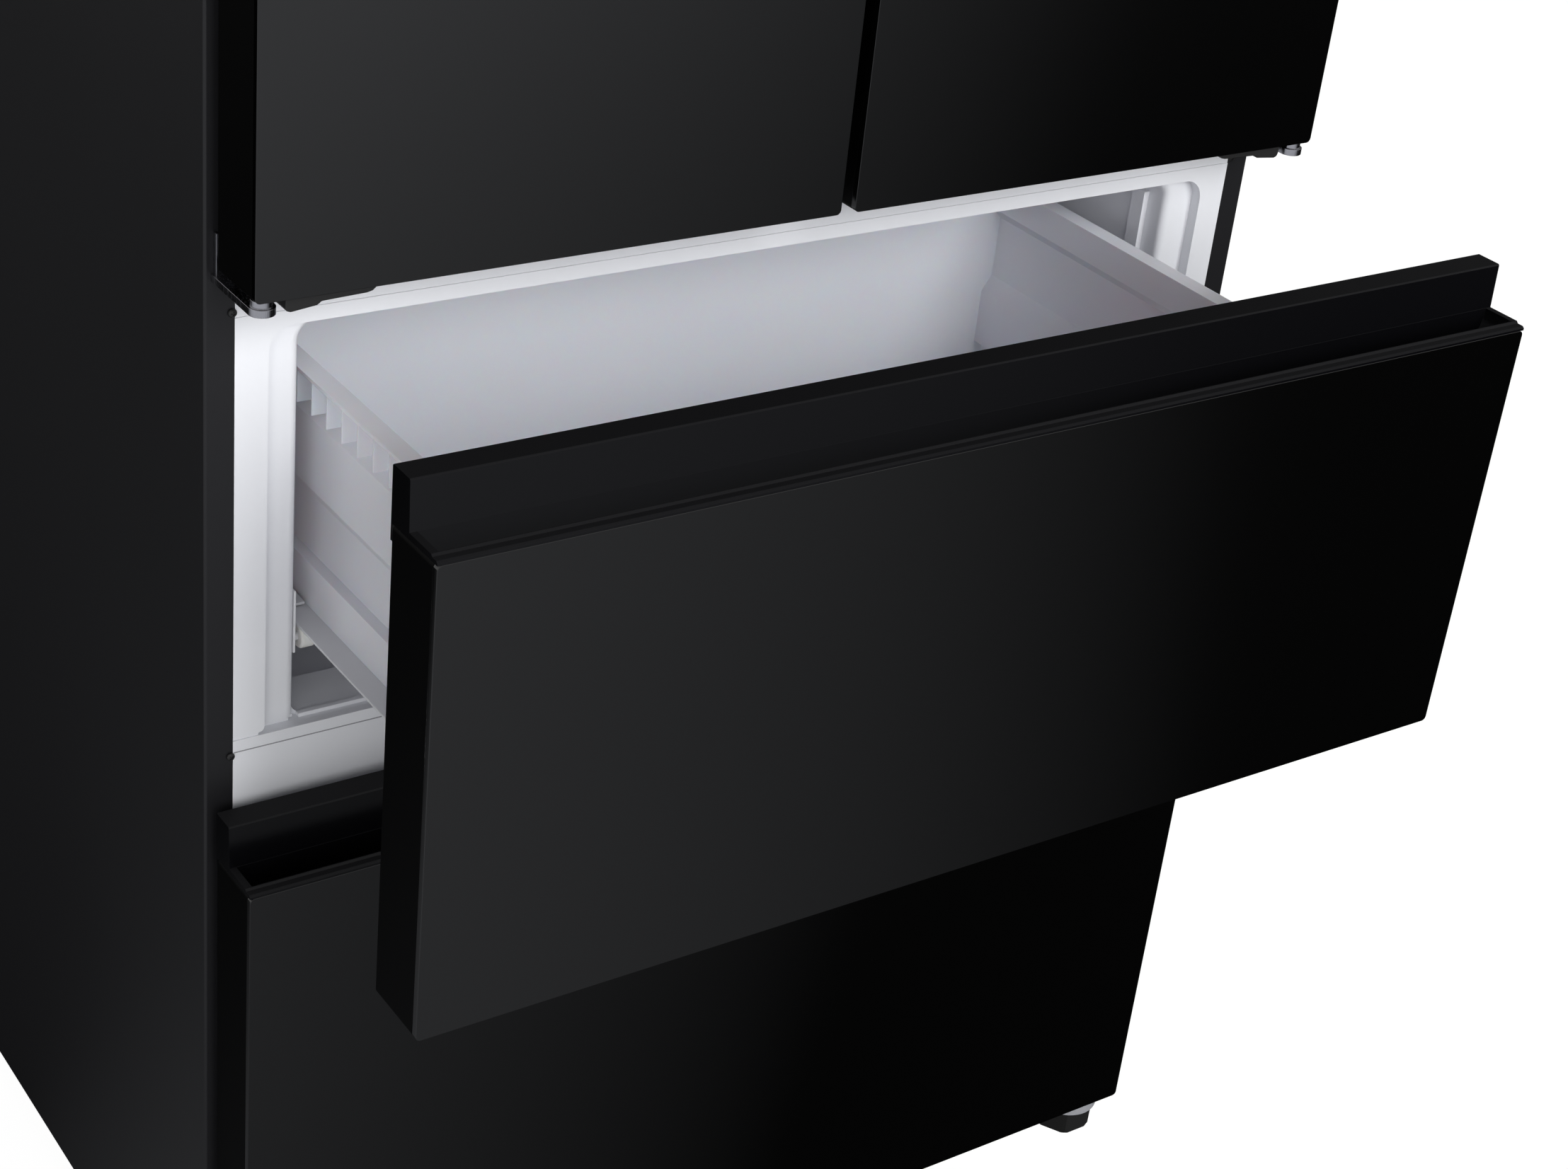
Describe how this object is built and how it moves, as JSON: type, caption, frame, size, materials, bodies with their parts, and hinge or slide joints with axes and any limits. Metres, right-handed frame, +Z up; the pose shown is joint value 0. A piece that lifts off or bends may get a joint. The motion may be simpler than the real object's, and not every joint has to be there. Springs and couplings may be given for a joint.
{
  "type": "refrigerator with freezer drawer",
  "caption": "Tall glass-fronted refrigerator with side-hinged upper doors and freezer drawers below, one drawn out on roller runners.",
  "frame": {"origin": "middle of the footprint on the floor, with the upper drawer drawn out as shown", "axes": "+Z up, -Y out of the front, +X to the right as seen from the front"},
  "size_m": [0.704, 0.8324, 1.784],
  "materials": {
    "case_paint": "satin dark paint on sheet steel",
    "foam": "rigid foam",
    "back_steel": "galvanised sheet",
    "liner_plastic": "vacuum-formed, semi-gloss",
    "zinc_steel": "zinc-plated",
    "hinge_steel": "dark zinc-plated",
    "black_plastic": "fine matte",
    "grey_plastic": "moulded, semi-gloss",
    "shelf_glass": "clear toughened",
    "clear_plastic": "clear moulded",
    "coil_metal": "bare fins",
    "compressor_paint": "black enamel",
    "foot_plastic": "fine matte",
    "wheel_plastic": "nylon",
    "front_glass": "back-printed black glass",
    "door_foam_edge": "dark moulded edge",
    "seal_rubber": "soft magnetic seal",
    "grip_plastic": "dark moulded trim",
    "bin_plastic": "moulded, semi-gloss",
    "rail_steel": "white powder coat"
  },
  "bodies": {
    "cabinet": {"outer_case": "case_paint", "insulation": "foam", "back_panel": "back_steel", "fridge_liner": "liner_plastic", "upper_freezer_liner": "liner_plastic", "lower_freezer_liner": "liner_plastic", "rail_covers": "liner_plastic", "base_frame": "zinc_steel", "foot_brackets": "zinc_steel", "middle_hinges": "hinge_steel", "top_hinges": "hinge_steel", "hinge_covers": "black_plastic", "glass_shelves": "shelf_glass", "shelf_trims": "liner_plastic", "crisper_drawers": "clear_plastic", "fridge_air_duct": "liner_plastic", "freezer_runners": "rail_steel", "evaporator": "coil_metal", "evaporator_cover": "liner_plastic", "compressor": "compressor_paint", "condenser": "coil_metal", "drain_pan": "black_plastic", "machine_cover": "zinc_steel"},
    "left_door": {"left_door_glass": "front_glass", "left_door_body": "door_foam_edge", "left_door_inner": "liner_plastic", "left_door_gasket": "seal_rubber", "left_door_bins": "clear_plastic", "left_closer": "black_plastic"},
    "right_door": {"right_door_glass": "front_glass", "right_door_body": "door_foam_edge", "right_door_inner": "liner_plastic", "right_door_gasket": "seal_rubber", "right_door_bins": "clear_plastic", "right_closer": "black_plastic"},
    "mullion_flap": {"mullion_flap": "grey_plastic"},
    "upper_drawer": {"upper_glass": "front_glass", "upper_body": "door_foam_edge", "upper_grip": "grip_plastic", "upper_inner": "liner_plastic", "upper_gasket": "seal_rubber", "upper_rails": "rail_steel", "upper_bin": "bin_plastic"},
    "lower_drawer": {"lower_glass": "front_glass", "lower_body": "door_foam_edge", "lower_grip": "grip_plastic", "lower_inner": "liner_plastic", "lower_gasket": "seal_rubber", "lower_rails": "rail_steel", "lower_bin": "bin_plastic"},
    "upper_front_rollers": {"upper_front_rollers": "wheel_plastic"},
    "upper_rear_wheels": {"upper_rear_wheels": "wheel_plastic"},
    "lower_front_rollers": {"lower_front_rollers": "wheel_plastic"},
    "lower_rear_wheels": {"lower_rear_wheels": "wheel_plastic"},
    "left_foot": {"left_foot": "foot_plastic"},
    "right_foot": {"right_foot": "foot_plastic"},
    "left_castor": {"left_castor": "black_plastic"},
    "right_castor": {"right_castor": "black_plastic"},
    "evaporator_fan": {"evaporator_fan": "black_plastic"},
    "condenser_fan": {"condenser_fan": "black_plastic"}
  },
  "joints": [
    {"name": "left_door_hinge", "type": "hinge", "parent": "cabinet", "child": "left_door", "pos_m": [-0.3416, -0.2178, 1.268], "axis": [0, 0, -1], "range_deg": [0, 130]},
    {"name": "right_door_hinge", "type": "hinge", "parent": "cabinet", "child": "right_door", "pos_m": [0.3416, -0.2178, 1.268], "axis": [0, 0, 1], "range_deg": [0, 130]},
    {"name": "mullion_flap_hinge", "type": "hinge", "parent": "left_door", "child": "mullion_flap", "pos_m": [-0.022, -0.1698, 1.245], "axis": [0, 0, -1], "range_deg": [0, 90]},
    {"name": "upper_drawer_slide", "type": "slide", "parent": "cabinet", "child": "upper_drawer", "axis": [0, -1, 0], "range_m": [-0.19, 0.09]},
    {"name": "lower_drawer_slide", "type": "slide", "parent": "cabinet", "child": "lower_drawer", "axis": [0, -1, 0], "range_m": [0, 0.28]},
    {"name": "upper_roller_spin", "type": "hinge", "parent": "cabinet", "child": "upper_front_rollers", "pos_m": [0, -0.1548, 0.5413], "axis": [1, 0, 0], "continuous": true},
    {"name": "lower_roller_spin", "type": "hinge", "parent": "cabinet", "child": "lower_front_rollers", "pos_m": [0, -0.1548, 0.1338], "axis": [1, 0, 0], "continuous": true},
    {"name": "upper_wheel_spin", "type": "hinge", "parent": "upper_drawer", "child": "upper_rear_wheels", "pos_m": [0, -0.0458, 0.5413], "axis": [1, 0, 0], "continuous": true},
    {"name": "lower_wheel_spin", "type": "hinge", "parent": "lower_drawer", "child": "lower_rear_wheels", "pos_m": [0, 0.1442, 0.1338], "axis": [1, 0, 0], "continuous": true},
    {"name": "left_foot_turn", "type": "hinge", "parent": "cabinet", "child": "left_foot", "pos_m": [-0.322, -0.1998, 0], "axis": [0, 0, 1], "continuous": true},
    {"name": "right_foot_turn", "type": "hinge", "parent": "cabinet", "child": "right_foot", "pos_m": [0.322, -0.1998, 0], "axis": [0, 0, 1], "continuous": true},
    {"name": "left_castor_spin", "type": "hinge", "parent": "cabinet", "child": "left_castor", "pos_m": [-0.307, 0.3842, 0.0125], "axis": [1, 0, 0], "continuous": true},
    {"name": "right_castor_spin", "type": "hinge", "parent": "cabinet", "child": "right_castor", "pos_m": [0.307, 0.3842, 0.0125], "axis": [1, 0, 0], "continuous": true},
    {"name": "evaporator_fan_spin", "type": "hinge", "parent": "cabinet", "child": "evaporator_fan", "pos_m": [0, 0.2482, 0.6713], "axis": [0, 1, 0], "continuous": true},
    {"name": "condenser_fan_spin", "type": "hinge", "parent": "cabinet", "child": "condenser_fan", "pos_m": [-0.0825, 0.3252, 0.11565], "axis": [1, 0, 0], "continuous": true}
  ]
}
